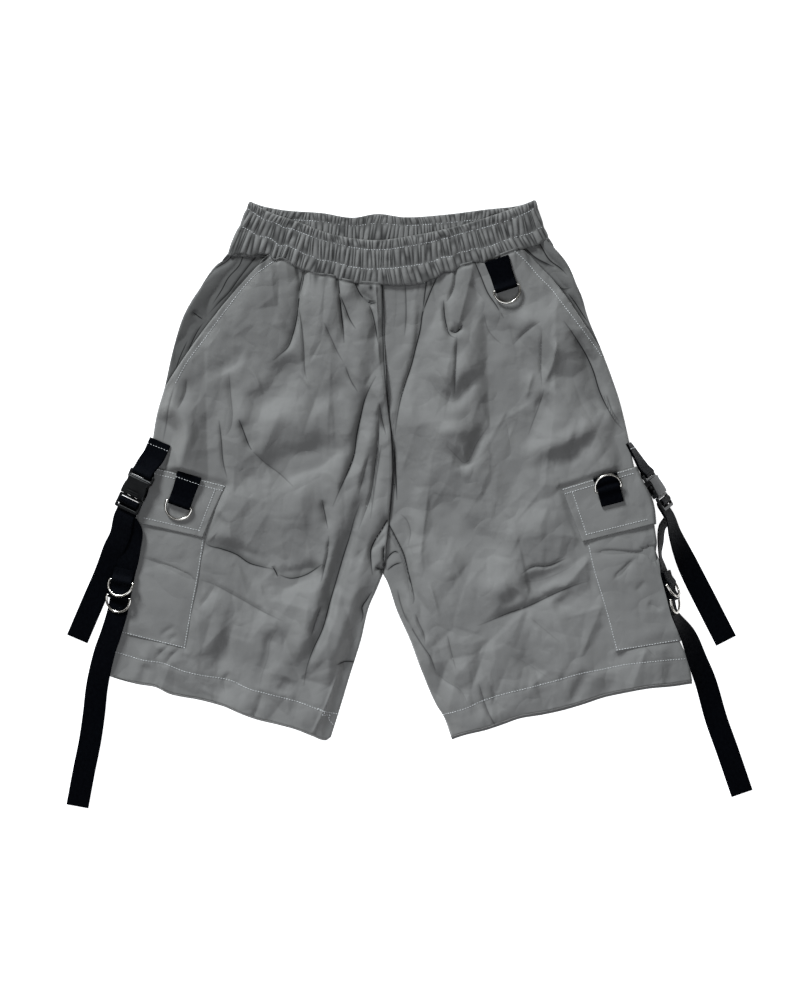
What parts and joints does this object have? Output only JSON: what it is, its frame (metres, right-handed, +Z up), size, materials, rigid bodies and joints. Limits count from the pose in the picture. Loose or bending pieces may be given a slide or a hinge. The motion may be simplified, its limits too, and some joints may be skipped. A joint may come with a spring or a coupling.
{
  "type": "cargo shorts",
  "caption": "Elastic-waist cargo shorts laid flat, front up, with flapped side pockets, slant pockets, webbing loops with D-rings and a buckled strap at each side.",
  "frame": {"origin": "centre of the bounding box, on the surface that the shorts lie on", "axes": "+Z up from the surface, through the back and then the front; +Y towards the waist; +X to the right as seen from above with the waist at the top"},
  "size_m": [0.7683, 0.6797, 0.0328],
  "materials": {
    "cloth": "smooth coated polyester, soft sheen",
    "webbing": "ribbed black webbing",
    "buckle": "satin black moulded plastic",
    "ring": "nickel plated, bright"
  },
  "bodies": {
    "shorts": {"back_left": "cloth", "back_right": "cloth", "buckle_plug_left": "buckle", "buckle_plug_right": "buckle", "buckle_socket_left": "buckle", "buckle_socket_right": "buckle", "cargo_bag_left": "cloth", "cargo_bag_right": "cloth", "cargo_flap_left": "cloth", "cargo_flap_right": "cloth", "flap_loop_left": "webbing", "flap_loop_right": "webbing", "front_left": "cloth", "front_right": "cloth", "pocket_facing_left": "cloth", "pocket_facing_right": "cloth", "ring_loop_left": "webbing", "ring_loop_right": "webbing", "side_tab_left": "webbing", "side_tab_right": "webbing", "strap_left": "webbing", "strap_right": "webbing", "waist_loop": "webbing", "waistband_back": "cloth", "waistband_front": "cloth"},
    "flap_ring_left": {"flap_ring_left": "ring"},
    "flap_ring_right": {"flap_ring_right": "ring"},
    "strap_ring_lower_left": {"strap_ring_lower_left": "ring"},
    "strap_ring_lower_right": {"strap_ring_lower_right": "ring"},
    "strap_ring_upper_left": {"strap_ring_upper_left": "ring"},
    "strap_ring_upper_right": {"strap_ring_upper_right": "ring"},
    "waist_ring": {"waist_ring": "ring"}
  },
  "joints": [
    {"name": "flap_ring_left_swing", "type": "hinge", "parent": "shorts", "child": "flap_ring_left", "pos_m": [-0.2566, 0.0007, 0.01485], "axis": [-0.9443, 0.329, 0], "range_deg": [0, 145]},
    {"name": "flap_ring_right_swing", "type": "hinge", "parent": "shorts", "child": "flap_ring_right", "pos_m": [0.22225, 0.01726, 0.01485], "axis": [0.9653, 0.261, 0], "range_deg": [0, 150]},
    {"name": "strap_ring_lower_left_swing", "type": "hinge", "parent": "shorts", "child": "strap_ring_lower_left", "pos_m": [-0.3244, -0.1024, 0.0114], "axis": [-0.9219, 0.1822, -0.342], "range_deg": [0, 130]},
    {"name": "strap_ring_lower_right_swing", "type": "hinge", "parent": "shorts", "child": "strap_ring_lower_right", "pos_m": [0.295, -0.1036, 0.0164], "axis": [-0.3937, -0.102, 0.9135], "range_deg": [0, 130]},
    {"name": "strap_ring_upper_left_swing", "type": "hinge", "parent": "shorts", "child": "strap_ring_upper_left", "pos_m": [-0.321, -0.0852, 0.0114], "axis": [-0.9219, 0.1822, -0.342], "range_deg": [0, 130]},
    {"name": "strap_ring_upper_right_swing", "type": "hinge", "parent": "shorts", "child": "strap_ring_upper_right", "pos_m": [0.2907, -0.087, 0.0164], "axis": [-0.3937, -0.102, 0.9135], "range_deg": [0, 130]},
    {"name": "waist_ring_swing", "type": "hinge", "parent": "shorts", "child": "waist_ring", "pos_m": [0.1077, 0.2425, 0.01139], "axis": [-0.9498, -0.3127, 0], "range_deg": [0, 145]}
  ]
}
